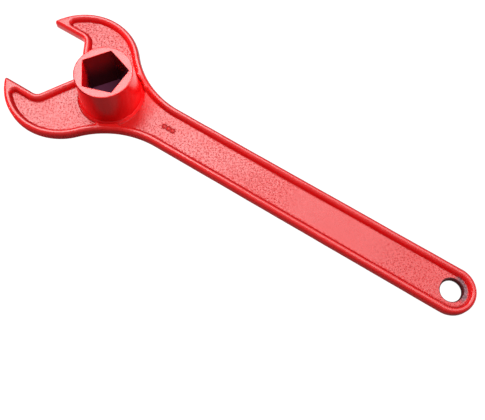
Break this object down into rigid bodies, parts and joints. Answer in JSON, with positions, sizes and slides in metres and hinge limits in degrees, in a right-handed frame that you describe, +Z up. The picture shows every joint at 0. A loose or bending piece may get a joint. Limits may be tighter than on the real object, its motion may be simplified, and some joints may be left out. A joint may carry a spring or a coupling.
{
  "type": "fire hydrant wrench",
  "caption": "Flat cast lever with an open two-horned jaw, a round barrel with a pentagon through socket standing on its head, a recessed rimmed handle and a hanging hole",
  "frame": {"origin": "Bottom centre of the bounding box: midway between the horn tips and the handle's round end, on the centreline, on the plane of the flat back. The barrel's axis stands at x = -0.1107 m, y = 0", "axes": "+X along the handle from the jaws to the hanging hole, +Y across the wrench, +Z up out of the socket barrel's mouth, away from the flat back"},
  "size_m": [0.3716, 0.11, 0.0365],
  "materials": {
    "painted_casting": "glossy red paint over a sand-cast surface, worn to metal beside the hanging hole",
    "painted_socket": "glossy red paint over a smooth barrel",
    "painted_bead": "glossy red paint"
  },
  "bodies": {
    "root": {"wrench_casting": "painted_casting", "socket_barrel": "painted_socket", "barrel_foot_bead": "painted_bead"}
  },
  "joints": []
}
